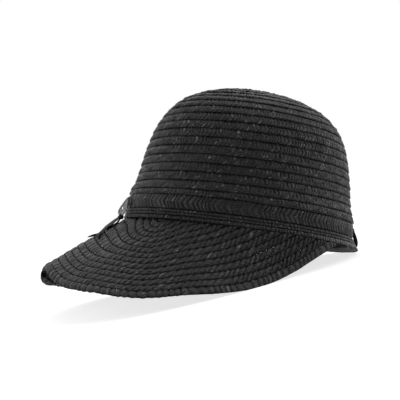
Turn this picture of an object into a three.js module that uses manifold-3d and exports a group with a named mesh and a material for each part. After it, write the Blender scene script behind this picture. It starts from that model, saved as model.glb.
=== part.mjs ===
// A black straw cap: a deep crown of sewn straw braid, a woven straw band round its foot,
// a braided peak that hangs from the foot at the front and both sides, and a ribbon bow.
// Millimetres, +Z up. The peak points to -Y and the wearer's left is +X.
// Each piece is worked out on the cap's own level foot plane, and the whole cap then leans
// back until the back of its foot and both side edges of its peak stand on z = 0.
import * as THREE from "three";
import { mergeVertices } from "three/addons/utils/BufferGeometryUtils.js";
import Module from "manifold-3d";

// Driving dimensions of the crown
const FOOT_LENGTH = 204;
const FOOT_WIDTH = 172;
const WALL = 2;
const GAP = 0.3;
const AROUND = 64;

// The crown's outside, as parts of the foot's half width (side) and half length (ends),
// and how far its middle lies behind the foot's
const CROWN_PROFILE = [
  { height: 21.5, side: 0.985, ends: 0.985, back: 0 },
  { height: 36, side: 0.943, ends: 0.943, back: 0.2 },
  { height: 58, side: 0.905, ends: 0.907, back: 0.5 },
  { height: 80, side: 0.852, ends: 0.854, back: 1 },
  { height: 98, side: 0.768, ends: 0.772, back: 1.3 },
  { height: 107, side: 0.688, ends: 0.696, back: 1.3 },
  { height: 114, side: 0.590, ends: 0.602, back: 1 },
  { height: 119.5, side: 0.465, ends: 0.485, back: 1 },
  { height: 124, side: 0.310, ends: 0.335, back: 1 },
  { height: 126.5, side: 0.140, ends: 0.165, back: 1 },
];
const CROWN_TOP = 127;
const CROWN_SHOULDER = 40;
const SHOULDER_THICKENING = 0.25;

// Band and foot row
const BAND_BOTTOM = 8.8;
const BAND_TOP = 21;
const BAND_THICK = 1.4;
const FOOT_ROW_BOTTOM = 0.2;
const FOOT_ROW_TOP = 8.4;
const FOOT_ROW_THICK = 1.8;
const FOOT_ROW_FLARE = 5.5;
const FOOT_ROW_DROP = 1.4;
const FOOT_ROW_SPLAY = 0.8;
const FLARE_AT_MIDDLE = 0.4;
const FLARE_START_DEG = 117.4;
const FLARE_FULL_DEG = 174.3;

// The peak by the angle round the foot from the middle of the front: how far out of the
// foot its root lies, how far it reaches from there, how steeply it hangs, and how much
// less steep its edge is than its root
const PEAK_PLAN = [
  { angle: 0, root: 0, reach: 80, droop: 37.4, lift: -5 },
  { angle: 20, root: 0, reach: 90, droop: 43.8, lift: -2 },
  { angle: 40, root: 0, reach: 91.5, droop: 44.4, lift: 4 },
  { angle: 60, root: 1.2, reach: 71.5, droop: 51.3, lift: 11 },
  { angle: 80, root: 2.4, reach: 50, droop: 66.5, lift: 15 },
  { angle: 100, root: 2.4, reach: 28, droop: 79, lift: 12 },
  { angle: 126, root: 2, reach: 3, droop: 84, lift: 4 },
];
const PEAK_SEGMENTS = 64;
const PEAK_STEPS = 10;
const WELD = 1e-4;

// Ribbon bow: its knot and loops by how far they stand out from the front of the foot
// and how high they are above it
const RIBBON_WIDTH = 9;
const RIBBON_THICK = 0.9;
const KNOT = { out: 4.6, up: 0.2, deep: 5.6, tall: 4.8, wide: 8, edge: 1, sides: 20 };
const UPPER_LOOP = [
  { out: 4.6, up: 3.4 },
  { out: 7.3, up: 3.6 },
  { out: 7.8, up: 5.8 },
  { out: 6.3, up: 9.4 },
  { out: 4.2, up: 13.4 },
  { out: 2.6, up: 16.6 },
  { out: 1.2, up: 16.6 },
  { out: 1.1, up: 13.0 },
  { out: 2.0, up: 7.0 },
];
const LOWER_LOOP = [
  { out: 8.1, up: -1.2 },
  { out: 11.2, up: -3.4 },
  { out: 14.2, up: -6.6 },
  { out: 16.8, up: -9.6 },
  { out: 16.3, up: -10.7 },
  { out: 14.4, up: -9.3 },
  { out: 11.2, up: -6.7 },
  { out: 8.3, up: -4.0 },
];
const LOOP_SEGMENTS = 30;
const TAIL_CLEARANCE = 0.5;
const TAILS = {
  bow_tail_near: { from: { angle: 5.5, along: 11 }, to: { angle: 11, along: 35 } },
  bow_tail_far: { from: { angle: -5.5, along: 11 }, to: { angle: -9, along: 40 } },
};
const TAIL_STEPS = 8;
const TAIL_TAPER = 0.25;

// Keeper over the band's crossed ends: where it sits round the foot from the middle of the
// front, and how far it stands out there
const KEEPER_ANGLE_DEG = 166;
const KEEPER_WIDTH = 8;
const KEEPER_THICK = 1.4;
const KEEPER_ROUTE = [
  { height: 3.6, out: 3.9 },
  { height: 6.2, out: 4.2 },
  { height: 9.5, out: 3.6 },
  { height: 13, out: 2.4 },
  { height: 16, out: 0.7 },
  { height: 18, out: 0 },
];

// How the cap stands
const LEAN_DEG = 19.4;
const SINK = 0.5;

const STRAW_COLOUR = 0x1d1f1f;
const BAND_COLOUR = 0x1e1f1f;
const RIBBON_COLOUR = 0x0b0b0c;

const DEG = Math.PI / 180;
const UP = new THREE.Vector3(0, 0, 1);
const wasm = await Module();
wasm.setup();

// A smooth curve through a table's rows that doesn't overshoot between them
function curveThrough(rows, key, value) {
  const slope = rows.slice(1).map((row, i) => (row[value] - rows[i][value]) / (row[key] - rows[i][key]));
  const tangent = rows.map((row, i) => {
    if (i === 0 || i === rows.length - 1) return i === 0 ? slope[0] : slope[i - 1];
    const product = slope[i - 1] * slope[i];
    return product > 0 ? (2 * product) / (slope[i - 1] + slope[i]) : 0;
  });
  return (at) => {
    const last = rows.length - 2;
    let i = 0;
    while (i < last && at > rows[i + 1][key]) i += 1;
    const span = rows[i + 1][key] - rows[i][key];
    const t = THREE.MathUtils.clamp((at - rows[i][key]) / span, 0, 1);
    const [t2, t3] = [t * t, t * t * t];
    return rows[i][value] * (2 * t3 - 3 * t2 + 1) + rows[i + 1][value] * (3 * t2 - 2 * t3)
      + span * (tangent[i] * (t3 - 2 * t2 + t) + tangent[i + 1] * (t3 - t2));
  };
}

// A point on an oval round the cap, at an angle from the middle of the front
function ovalPoint(angle, halfWidth, halfLength, height) {
  return new THREE.Vector3(halfWidth * Math.sin(angle), -halfLength * Math.cos(angle), height);
}

// The level direction straight out of the foot's oval
function ovalNormal(angle) {
  return new THREE.Vector3(
    Math.sin(angle) / (FOOT_WIDTH / 2),
    -Math.cos(angle) / (FOOT_LENGTH / 2),
    0,
  ).normalize();
}

// A level ring of points at an offset from the foot's oval, scaled across and along
function ring(offset, height, sideScale, endScale, back = 0) {
  return Array.from({ length: AROUND }, (_, i) => {
    const angle = (i / AROUND) * 2 * Math.PI;
    const halfWidth = (FOOT_WIDTH / 2) * sideScale + offset;
    const halfLength = (FOOT_LENGTH / 2) * endScale + offset;
    const point = ovalPoint(angle, halfWidth, halfLength, height);
    point.y += back;
    return point;
  });
}

// A closed solid through a row of loops that all have the same number of points.
// ends: "joined" closes the row on itself, "fan" and "strip" close its two end loops.
function loftedSolid(loops, ends) {
  const count = loops[0].length;
  const positions = loops.flat().flatMap((p) => [p.x, p.y, p.z]);
  const index = [];
  const quad = (a, b, c, d) => index.push(a, b, c, a, c, d);
  const spans = ends === "joined" ? loops.length : loops.length - 1;
  for (let k = 0; k < spans; k += 1) {
    const here = k * count;
    const next = ((k + 1) % loops.length) * count;
    for (let i = 0; i < count; i += 1) {
      const j = (i + 1) % count;
      quad(here + i, here + j, next + j, next + i);
    }
  }
  const lastLoop = (loops.length - 1) * count;
  if (ends === "fan") {
    for (const [start, turn] of [[0, 1], [lastLoop, -1]]) {
      const loop = loops[start / count];
      const middle = loop.reduce((sum, p) => sum.add(p), new THREE.Vector3()).divideScalar(count);
      const apex = positions.length / 3;
      positions.push(middle.x, middle.y, middle.z);
      for (let i = 0; i < count; i += 1) {
        const j = (i + 1) % count;
        index.push(...(turn > 0 ? [start + j, start + i, apex] : [start + i, start + j, apex]));
      }
    }
  }
  if (ends === "strip") {
    for (const [start, turn] of [[0, 1], [lastLoop, -1]]) {
      for (let i = 0; i < count / 2 - 1; i += 1) {
        const corners = [start + i, start + count - 1 - i, start + count - 2 - i, start + i + 1];
        quad(...(turn > 0 ? corners : corners.reverse()));
      }
    }
  }
  const geometry = new THREE.BufferGeometry();
  geometry.setAttribute("position", new THREE.Float32BufferAttribute(positions, 3));
  geometry.setIndex(index);
  return facingOut(geometry);
}

// Turns every face over where the solid came out inside out
function facingOut(geometry) {
  const p = geometry.attributes.position;
  const index = geometry.index.array;
  const corner = (i) => new THREE.Vector3().fromBufferAttribute(p, index[i]);
  let volume = 0;
  for (let i = 0; i < index.length; i += 3) volume += corner(i).dot(corner(i + 1).cross(corner(i + 2)));
  if (volume < 0) {
    for (let i = 0; i < index.length; i += 3) [index[i], index[i + 1]] = [index[i + 1], index[i]];
  }
  return geometry;
}

// Crown: one hollow shell, rebated on the outside where the band and the foot row lie
const sideAt = curveThrough(CROWN_PROFILE, "height", "side");
const endsAt = curveThrough(CROWN_PROFILE, "height", "ends");
const backAt = curveThrough(CROWN_PROFILE, "height", "back");
const REBATE = BAND_THICK + GAP;
const footTaper = (1 - CROWN_PROFILE[0].side) / CROWN_PROFILE[0].height;

function crownGeometry() {
  const first = CROWN_PROFILE[0];
  const outside = [0, BAND_BOTTOM, first.height - GAP].map((height) => {
    const scale = 1 - footTaper * height;
    return ring(-REBATE, height, scale, scale);
  });
  CROWN_PROFILE.forEach((row, i) => {
    outside.push(ring(0, row.height, row.side, row.ends, row.back));
    const next = CROWN_PROFILE[i + 1];
    if (!next) return;
    const middle = (row.height + next.height) / 2;
    outside.push(ring(0, middle, sideAt(middle), endsAt(middle), backAt(middle)));
  });
  const inside = [
    ring(-REBATE - WALL + GAP, 0, 1, 1),
    ring(-REBATE - WALL + GAP, first.height + WALL, first.side, first.side),
  ];
  for (const row of CROWN_PROFILE.slice(1)) {
    const flat = 1 - Math.min(1, (CROWN_TOP - row.height) / CROWN_SHOULDER);
    const inset = WALL * (1 + flat * SHOULDER_THICKENING);
    inside.push(ring(-inset, row.height - WALL * flat, row.side, row.ends, row.back));
  }
  return loftedSolid([...outside.reverse(), ...inside], "fan");
}

// A ring of straw round the foot: inner is how far its inside lies from the foot's oval.
// Its lower edge flares at the back, and splays by its share of the peak's root
function footRing({ bottom, top, inner, thick, flare, drop, splay }) {
  const middle = (bottom + top) / 2;
  const corners = [
    { out: inner, height: bottom, flared: 1 },
    { out: inner + thick, height: bottom, flared: 1 },
    { out: inner + thick, height: middle, flared: FLARE_AT_MIDDLE },
    { out: inner + thick, height: top, flared: 0 },
    { out: inner, height: top, flared: 0 },
    { out: inner, height: middle, flared: FLARE_AT_MIDDLE },
  ];
  const loops = Array.from({ length: AROUND }, (_, i) => {
    const angle = (i / AROUND) * 2 * Math.PI;
    const back = backness(angle);
    const spread = flare * back + splay * rootAt(fromFront(angle) / DEG) * (1 - back);
    return corners.map(({ out, height, flared }) => {
      const scale = 1 - footTaper * height;
      const level = height - drop * flared * back;
      const point = ovalPoint(angle, (FOOT_WIDTH / 2) * scale, (FOOT_LENGTH / 2) * scale, level);
      return point.addScaledVector(ovalNormal(angle), out + spread * flared);
    });
  });
  return loftedSolid(loops, "joined");
}

// The angle to either side of the middle of the front
function fromFront(angle) {
  return angle > Math.PI ? 2 * Math.PI - angle : angle;
}

// 0 along the peak and 1 at the middle of the back
function backness(angle) {
  return THREE.MathUtils.smoothstep(fromFront(angle), FLARE_START_DEG * DEG, FLARE_FULL_DEG * DEG);
}

// Peak: for each angle a strip that starts under the foot row and hangs at its droop
const reachAt = curveThrough(PEAK_PLAN, "angle", "reach");
const droopAt = curveThrough(PEAK_PLAN, "angle", "droop");
const liftAt = curveThrough(PEAK_PLAN, "angle", "lift");
const rootAt = curveThrough(PEAK_PLAN, "angle", "root");

function peakStrip(angleDeg, lower) {
  const angle = angleDeg * DEG;
  const reach = reachAt(Math.abs(angleDeg));
  const droop = droopAt(Math.abs(angleDeg));
  const lift = liftAt(Math.abs(angleDeg));
  const outward = ovalNormal(angle);
  const point = ovalPoint(angle, FOOT_WIDTH / 2, FOOT_LENGTH / 2, -GAP);
  point.addScaledVector(outward, rootAt(Math.abs(angleDeg)));
  const step = reach / PEAK_STEPS;
  const strip = [];
  for (let i = 0; i <= PEAK_STEPS; i += 1) {
    const slope = (droop + lift * (0.5 - i / PEAK_STEPS)) * DEG;
    const down = outward.clone().multiplyScalar(Math.cos(slope)).addScaledVector(UP, -Math.sin(slope));
    const under = outward.clone().multiplyScalar(-Math.sin(slope)).addScaledVector(UP, -Math.cos(slope));
    if (i > 0) point.addScaledVector(down, step);
    strip.push(point.clone().addScaledVector(under, lower ? WALL : 0));
  }
  return strip;
}

function peakGeometry() {
  const end = PEAK_PLAN[PEAK_PLAN.length - 1].angle;
  const loops = Array.from({ length: PEAK_SEGMENTS + 1 }, (_, i) => {
    const angle = THREE.MathUtils.lerp(-end, end, i / PEAK_SEGMENTS);
    return [...peakStrip(angle, false), ...peakStrip(angle, true).reverse()];
  });
  return loftedSolid(loops, "strip");
}

// A closed loop of ribbon through its table's rows, standing in the cap's middle plane
function loopGeometry(rows) {
  const points = rows.map(({ out, up }) => new THREE.Vector3(-out, up, 0));
  if (THREE.ShapeUtils.isClockWise(points)) points.reverse();
  const route = new THREE.CatmullRomCurve3(points, true);
  const outline = (inset) => Array.from({ length: LOOP_SEGMENTS }, (_, i) => {
    const point = route.getPointAt(i / LOOP_SEGMENTS);
    const along = route.getTangentAt(i / LOOP_SEGMENTS);
    return new THREE.Vector2(point.x - along.y * inset, point.y + along.x * inset);
  });
  const shape = new THREE.Shape(outline(-RIBBON_THICK / 2));
  shape.holes.push(new THREE.Path(outline(RIBBON_THICK / 2)));
  const geometry = new THREE.ExtrudeGeometry(shape, { depth: RIBBON_WIDTH, bevelEnabled: false });
  return stoodUp(geometry.translate(0, 0, -RIBBON_WIDTH / 2));
}

// Turns a drawing of out (as -x) and up (as y) into the middle plane at the front of the foot
function stoodUp(geometry) {
  const across = new THREE.Vector3(1, 0, 0);
  const out = new THREE.Vector3(0, 1, 0);
  const basis = new THREE.Matrix4().makeBasis(out, UP, across);
  return geometry.applyMatrix4(basis).translate(0, -FOOT_LENGTH / 2, 0);
}

function knotGeometry() {
  const { edge, sides } = KNOT;
  const outline = new THREE.EllipseCurve(-KNOT.out, KNOT.up, KNOT.deep / 2, KNOT.tall / 2);
  const corners = outline.getPoints(sides).slice(0, sides);
  const geometry = new THREE.ExtrudeGeometry(new THREE.Shape(corners), {
    depth: KNOT.wide - 2 * edge,
    bevelEnabled: true,
    bevelThickness: edge,
    bevelSize: edge,
    bevelOffset: -edge,
    bevelSegments: 2,
  });
  return stoodUp(geometry.translate(0, 0, edge - KNOT.wide / 2));
}

// A ribbon tail that lies on the peak, a little proud of it
function tailGeometry({ from, to }) {
  const loops = Array.from({ length: TAIL_STEPS + 1 }, (_, i) => {
    const t = i / TAIL_STEPS;
    const angle = THREE.MathUtils.lerp(from.angle, to.angle, t);
    const { point, normal, side } = surfaceFrame(angle, THREE.MathUtils.lerp(from.along, to.along, t));
    const half = side.multiplyScalar((RIBBON_WIDTH / 2) * (1 - TAIL_TAPER * t));
    const low = point.addScaledVector(normal, TAIL_CLEARANCE);
    const high = low.clone().addScaledVector(normal, RIBBON_THICK);
    return [low.clone().sub(half), low.clone().add(half), high.clone().add(half), high.clone().sub(half)];
  });
  return loftedSolid(loops, "strip");
}

// The place, upward normal and sideways direction on the peak's upper face
function surfaceFrame(angleDeg, along) {
  const at = (deg, distance) => {
    const strip = peakStrip(deg, false);
    const index = Math.max((distance / reachAt(Math.abs(deg))) * PEAK_STEPS, 0);
    const low = Math.min(Math.floor(index), PEAK_STEPS - 1);
    return strip[low].clone().lerp(strip[low + 1], index - low);
  };
  const point = at(angleDeg, along);
  const side = at(angleDeg + 1, along).sub(at(angleDeg - 1, along)).normalize();
  const down = at(angleDeg, along + 1).sub(at(angleDeg, Math.max(along - 1, 0))).normalize();
  const normal = new THREE.Vector3().crossVectors(side, down).normalize();
  if (normal.z < 0) normal.negate();
  return { point, normal, side };
}

// A short upright strap over the band at the back, bowed outwards
function keeperGeometry() {
  const angle = KEEPER_ANGLE_DEG * DEG;
  const outward = ovalNormal(angle);
  const sideways = new THREE.Vector3().crossVectors(outward, UP);
  const loops = KEEPER_ROUTE.map(({ height, out }) => {
    const scale = 1 - footTaper * height;
    const skin = ovalPoint(angle, (FOOT_WIDTH / 2) * scale, (FOOT_LENGTH / 2) * scale, height);
    const near = GAP + out;
    const far = near + KEEPER_THICK;
    const corners = [[-1, near], [1, near], [1, far], [-1, far]];
    return corners.map(([side, away]) => skin.clone()
      .addScaledVector(sideways, (side * KEEPER_WIDTH) / 2)
      .addScaledVector(outward, away));
  });
  return loftedSolid(loops, "strip");
}

// Leans a level piece back and makes it one merged solid
const lean = new THREE.Matrix4().makeRotationX(-LEAN_DEG * DEG);
const solids = new Map();

function addSolid(name, geometry) {
  const bare = new THREE.BufferGeometry();
  bare.setAttribute("position", geometry.attributes.position.clone());
  if (geometry.index) bare.setIndex(geometry.index.clone());
  bare.applyMatrix4(lean);
  const merged = mergeVertices(bare, WELD);
  const mesh = new wasm.Mesh({
    numProp: 3,
    vertProperties: new Float32Array(merged.attributes.position.array),
    triVerts: new Uint32Array(merged.index.array),
  });
  mesh.merge();
  solids.set(name, new wasm.Manifold(mesh));
}

addSolid("crown", crownGeometry());
addSolid("hatband", footRing({
  bottom: BAND_BOTTOM,
  top: BAND_TOP,
  inner: GAP - REBATE,
  thick: BAND_THICK,
  flare: 0,
  drop: 0,
  splay: 0,
}));
addSolid("foot_row", footRing({
  bottom: FOOT_ROW_BOTTOM,
  top: FOOT_ROW_TOP,
  inner: GAP - REBATE,
  thick: FOOT_ROW_THICK,
  flare: FOOT_ROW_FLARE,
  drop: FOOT_ROW_DROP,
  splay: FOOT_ROW_SPLAY,
}));
addSolid("peak", peakGeometry());
addSolid("bow_knot", knotGeometry());
addSolid("bow_loop_upper", loopGeometry(UPPER_LOOP));
addSolid("bow_loop_lower", loopGeometry(LOWER_LOOP));
for (const [name, tail] of Object.entries(TAILS)) addSolid(name, tailGeometry(tail));
addSolid("band_keeper", keeperGeometry());

const FINISH = {
  straw: { color: STRAW_COLOUR, roughness: 0.55, metalness: 0 },
  band: { color: BAND_COLOUR, roughness: 0.6, metalness: 0 },
  ribbon: { color: RIBBON_COLOUR, roughness: 0.3, metalness: 0 },
};
const FINISH_OF = { hatband: "band", band_keeper: "band" };
const finishOf = (name) => FINISH[name.startsWith("bow") ? "ribbon" : FINISH_OF[name] ?? "straw"];

// The whole cap is set down with its plan's middle on the origin
const plan = new THREE.Box3();
for (const solid of solids.values()) {
  const { min, max } = solid.boundingBox();
  plan.expandByPoint(new THREE.Vector3(...min)).expandByPoint(new THREE.Vector3(...max));
}
const middle = plan.getCenter(new THREE.Vector3());
const setDown = [-middle.x, -middle.y, -plan.min.z - SINK];

const cap = new THREE.Group();
for (const [name, solid] of solids) {
  const { vertProperties, triVerts } = solid.translate(setDown).trimByPlane([0, 0, 1], 0).getMesh();
  const geometry = new THREE.BufferGeometry();
  geometry.setAttribute("position", new THREE.BufferAttribute(vertProperties, 3));
  geometry.setIndex(new THREE.BufferAttribute(triVerts, 1));
  geometry.computeVertexNormals();
  const mesh = new THREE.Mesh(geometry, new THREE.MeshStandardMaterial(finishOf(name)));
  mesh.name = name;
  cap.add(mesh);
}

export default cap;
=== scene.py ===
import math

import bmesh
import bpy
import numpy as np
from mathutils import Matrix, Vector


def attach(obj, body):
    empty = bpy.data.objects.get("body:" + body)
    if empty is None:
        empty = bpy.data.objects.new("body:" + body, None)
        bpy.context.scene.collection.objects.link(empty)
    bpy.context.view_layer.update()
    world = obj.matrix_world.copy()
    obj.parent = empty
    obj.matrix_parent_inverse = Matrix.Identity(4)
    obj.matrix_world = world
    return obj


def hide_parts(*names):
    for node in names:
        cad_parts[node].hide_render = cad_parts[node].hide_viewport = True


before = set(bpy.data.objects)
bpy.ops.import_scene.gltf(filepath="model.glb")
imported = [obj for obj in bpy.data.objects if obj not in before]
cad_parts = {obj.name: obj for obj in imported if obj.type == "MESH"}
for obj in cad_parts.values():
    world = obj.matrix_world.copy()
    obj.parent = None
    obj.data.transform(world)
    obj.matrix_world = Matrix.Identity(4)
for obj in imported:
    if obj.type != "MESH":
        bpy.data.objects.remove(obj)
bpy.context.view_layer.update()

bl_info = {
    "name": "Braided Straw Cap",
    "version": (1, 0, 0),
    "blender": (4, 5, 0),
    "location": "View3D > Sidebar > Straw Cap",
    "description": "Builds a black straw cap: braided crown, band, peak and ribbon bow",
    "category": "Add Mesh",
}

# Each piece is worked out level, in millimetres: the origin is the middle of the foot's oval,
# the peak points to -Y and the wearer's left is +X. The cap then leans back as it stands.
LEAN = math.radians(19.4)
FOOT_STANDS_AT = (0.0, 31.903, 36.668)
MM = 0.001
WELD = 0.000004
TURN = 2 * math.pi

# The foot's oval
HALF_WIDTH = 86.0
HALF_LENGTH = 102.0

# The crown's outside, as shares of the foot's half width and half length
CROWN = {
    "height": (0, 21.5, 36, 58, 80, 98, 107, 114, 119.5, 124, 126.5, 127),
    "side": (1, 0.985, 0.943, 0.905, 0.852, 0.768, 0.688, 0.590, 0.465, 0.310, 0.140, 0),
    "ends": (1, 0.985, 0.943, 0.907, 0.854, 0.772, 0.696, 0.602, 0.485, 0.335, 0.165, 0),
    "back": (0, 0, 0.2, 0.5, 1, 1.3, 1.3, 1, 1, 1, 1, 1),
}
BAND_TOP = 21.0
BAND_BOTTOM = 8.8
FOOT_ROW_TOP = 8.4
FOOT_ROW_BOTTOM = 0.2

# The peak by the angle round the foot from the middle of the front, in degrees
PEAK = {
    "angle": (0, 20, 40, 60, 80, 100, 112, 126),
    "root": (0, 0, 0, 1.2, 2.4, 2.4, 2.2, 2),
    "reach": (80, 90, 91.5, 71.5, 50, 28, 14, 1),
    "droop": (37.4, 43.8, 44.4, 51.3, 66.5, 79, 82, 84),
    "lift": (-5, -2, 4, 11, 15, 12, 8, 4),
}
PEAK_END = 126.0
PEAK_TOP_GAP = 0.3

# Foot row: how it flares at the back and splays over the peak's root
FLARE = 5.5
FLARE_DROP = 1.4
FLARE_FROM, FLARE_FULL = 117.4, 174.3
FLARE_CURVE = 1.32
SPLAY = 0.8

# How unevenly straws are spread along a row, how broad their backs are, and the height at which
# they cross the skin
UNEVEN = 0.35
UNEVEN_EVERY = 0.83
STRAW_ROUNDNESS = 0.65
STRAW_LEVEL = 0.6


# ---- Curves and surfaces of the level cap ----

def smooth_through(keys, values):
    """A smooth curve through a table, which doesn't overshoot between its rows."""
    keys, values = np.asarray(keys, float), np.asarray(values, float)
    slope = np.diff(values) / np.diff(keys)
    tangent = np.zeros(len(keys))
    tangent[0], tangent[-1] = slope[0], slope[-1]
    product = slope[:-1] * slope[1:]
    total = np.where(product > 0, slope[:-1] + slope[1:], 1)
    tangent[1:-1] = np.where(product > 0, 2 * product / total, 0)

    def at(x):
        x = np.asarray(x, float)
        i = np.clip(np.searchsorted(keys, x, side="right") - 1, 0, len(keys) - 2)
        span = keys[i + 1] - keys[i]
        t = np.clip((x - keys[i]) / span, 0, 1)
        rise = 3 * t ** 2 - 2 * t ** 3
        lift = tangent[i] * (t ** 3 - 2 * t ** 2 + t) + tangent[i + 1] * (t ** 3 - t ** 2)
        return values[i] * (1 - rise) + values[i + 1] * rise + span * lift

    return at


def smoothstep(x, low, high):
    """A soft step from 0 at low to 1 at high; it falls where low is the larger."""
    t = np.clip((np.asarray(x, float) - low) / (high - low), 0, 1)
    return t * t * (3 - 2 * t)


def points(*parts):
    """One array of points from their x, y and z."""
    return np.stack(np.broadcast_arrays(*parts), axis=-1)


def standing(x, y, z):
    """Level millimetres to the row's frame in metres, leaning back as the cap stands."""
    c, s = math.cos(LEAN), math.sin(LEAN)
    turned = x, y * c + z * s, z * c - y * s
    return points(*(value + at for value, at in zip(turned, FOOT_STANDS_AT))) * MM


def foot_share(height):
    """The size of the foot's oval at a height, as a share of its size at the bottom."""
    return 1 - height * (1 - CROWN["side"][1]) / CROWN["height"][1]


def foot_normal(angle):
    """Straight out from the foot's oval, level."""
    out = points(np.sin(angle) / HALF_WIDTH, -np.cos(angle) / HALF_LENGTH)
    return out / np.linalg.norm(out, axis=-1, keepdims=True)


def crown_tables():
    """The crown's outline by the distance down its side from the pole."""
    sizes = {"height": 1, "side": HALF_WIDTH, "ends": HALF_LENGTH, "back": 1}
    tables = {name: np.array(CROWN[name], float)[::-1] * size for name, size in sizes.items()}
    steps = np.hypot(np.diff(tables["side"]), np.diff(tables["height"]))
    down = np.concatenate([[0], np.cumsum(steps)])
    at = {name: smooth_through(down, table) for name, table in tables.items()}
    return {"length": down[-1], **at}


CROWN_AT = crown_tables()


def crown_bare(down, angle):
    """A point on the crown's smooth outside, by the distance down from its pole."""
    return points(
        CROWN_AT["side"](down) * np.sin(angle),
        -CROWN_AT["ends"](down) * np.cos(angle) + CROWN_AT["back"](down),
        CROWN_AT["height"](down),
    )


def crown_point(down, angle, out):
    """A point on the crown, pushed out of its surface."""
    step, nearest = 0.4, 0.05
    along = crown_bare(down + step, angle) - crown_bare(np.maximum(down - step, nearest), angle)
    side, ends = (CROWN_AT[name](np.maximum(down, step)) for name in ("side", "ends"))
    away = points(side * np.cos(angle), ends * np.sin(angle), 0 * angle)
    normal = np.cross(along, away)
    normal /= np.maximum(np.linalg.norm(normal, axis=-1, keepdims=True), 1e-9)
    return np.moveaxis(crown_bare(down, angle) + normal * np.asarray(out)[..., None], -1, 0)


def down_at_height(height):
    """How far down the side from the pole the crown reaches a height."""
    down = np.linspace(0, CROWN_AT["length"], 4000)
    return float(np.interp(-height, -CROWN_AT["height"](down), down))


def from_front(angle):
    """Degrees from the middle of the front, to either side."""
    turned = np.degrees(np.mod(angle, TURN))
    return np.minimum(turned, 360 - turned)


PEAK_AT = {name: smooth_through(PEAK["angle"], PEAK[name]) for name in PEAK if name != "angle"}


def foot_point(angle, height, out):
    """A point on the foot's skin, flared at the back and splayed over the peak's root."""
    low = np.clip((FOOT_ROW_TOP - height) / (FOOT_ROW_TOP - FOOT_ROW_BOTTOM), 0, 1.1) ** FLARE_CURVE
    back = smoothstep(from_front(angle), FLARE_FROM, FLARE_FULL)
    spread = (FLARE * back + SPLAY * PEAK_AT["root"](from_front(angle)) * (1 - back)) * low
    share, normal = foot_share(height), foot_normal(angle)
    x = HALF_WIDTH * share * np.sin(angle) + normal[..., 0] * (out + spread)
    y = -HALF_LENGTH * share * np.cos(angle) + normal[..., 1] * (out + spread)
    return x, y, height - FLARE_DROP * low * back


def peak_point(degrees, along, out):
    """A point on the peak's upper face: along runs from the foot to the edge."""
    angle = np.radians(degrees)
    root, reach, droop, lift = (at(np.abs(degrees)) for at in PEAK_AT.values())
    least_bend = 0.01
    start = np.radians(droop + lift / 2)
    bend = np.radians(np.where(np.abs(lift) < least_bend, least_bend, lift))
    slope = start - bend * along / reach
    level = reach * (np.sin(start) - np.sin(slope)) / bend
    sunk = reach * (np.cos(slope) - np.cos(start)) / bend
    normal = foot_normal(angle)
    away = root + level + out * np.sin(slope)
    x = HALF_WIDTH * np.sin(angle) + normal[..., 0] * away
    y = -HALF_LENGTH * np.cos(angle) + normal[..., 1] * away
    return x, y, -PEAK_TOP_GAP - sunk + out * np.cos(slope)


def unlike(number, row=0.0):
    """A fixed share between 0 and 1 for each straw, so that no two neighbours are alike."""
    stride, row_stride, scatter = 12.9898, 7.7, 43758.5453
    return np.mod(np.sin(number * stride + row * row_stride) * scatter, 1)


def straw_swell(look, along, across, row=0.0, uneven=0.5):
    """Rounded straws side by side with sharp valleys between them, slanting to both sides of a
    ridge as in the material: 0 in a valley and up to 1 on a straw."""
    turns = along / look["pitch"]
    turns = turns + UNEVEN * np.sin(UNEVEN_EVERY * turns)
    turns = turns + look["slant"] * np.abs(across - look["ridge"])
    height = np.abs(np.sin(math.pi * turns)) ** STRAW_ROUNDNESS
    return height * (1 - uneven * unlike(np.floor(turns), row))


def straw_wave(*straw):
    """The same straws as a push out of the skin and into it."""
    return 2 * straw_swell(*straw) - 2 * STRAW_LEVEL


def blunt(wave, power):
    """A wave between -1 and 1 that stays longer near its ends the lower its power."""
    return np.sign(wave) * np.abs(wave) ** power


# ---- Mesh helpers ----

def add_skin(bm, steps, sides, place, length, start=0.0, lane=0.0, closed=False):
    """Adds a grid laid out as a tube: place(a, b) gives its skin for the shares along and round.
    Its long edges are welded, and its ends are welded to each other or filled. Its UV map runs
    in millimetres along it from start, and in shares round it from lane."""
    uv = bm.loops.layers.uv.verify()
    made = bmesh.ops.create_grid(
        bm, x_segments=steps, y_segments=sides, size=0.5, calc_uvs=True
    )["verts"]
    shares = np.array([v.co[:2] for v in made]) + 0.5
    for face in {f for v in made for f in v.link_faces}:
        for loop in face.loops:
            loop[uv].uv = start + loop[uv].uv.x * length, lane + loop[uv].uv.y
    for vert, at in zip(made, place(shares[:, 0], shares[:, 1])):
        vert.co = at
    rim = [v for v in made if v.is_boundary]
    bmesh.ops.remove_doubles(bm, verts=rim, dist=WELD)
    if not closed:
        ends = {e for v in rim if v.is_valid for e in v.link_edges if e.is_boundary}
        if ends:
            bmesh.ops.holes_fill(bm, edges=list(ends), sides=0)


def add_object(name, bm, material):
    """Turns a finished bmesh into an object in the scene."""
    mesh = bpy.data.meshes.new(name)
    bm.to_mesh(mesh)
    bm.free()
    mesh.materials.append(material)
    made = bpy.data.objects.new(name, mesh)
    bpy.context.scene.collection.objects.link(made)
    return made


def add_piece(name, bm, material, node):
    """Adds a smooth piece that rides on the cap and stands for a CAD node."""
    bmesh.ops.recalc_face_normals(bm, faces=bm.faces)
    piece = add_object(name, bm, material)
    faces = piece.data.polygons
    faces.foreach_set("use_smooth", np.ones(len(faces), bool))
    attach(piece, "root")
    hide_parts(node)


def by_length(*parts):
    """The running length along a row of points, in millimetres."""
    steps = np.linalg.norm(np.diff(points(*parts), axis=0), axis=1)
    return np.concatenate([[0], np.cumsum(steps)])


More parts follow.
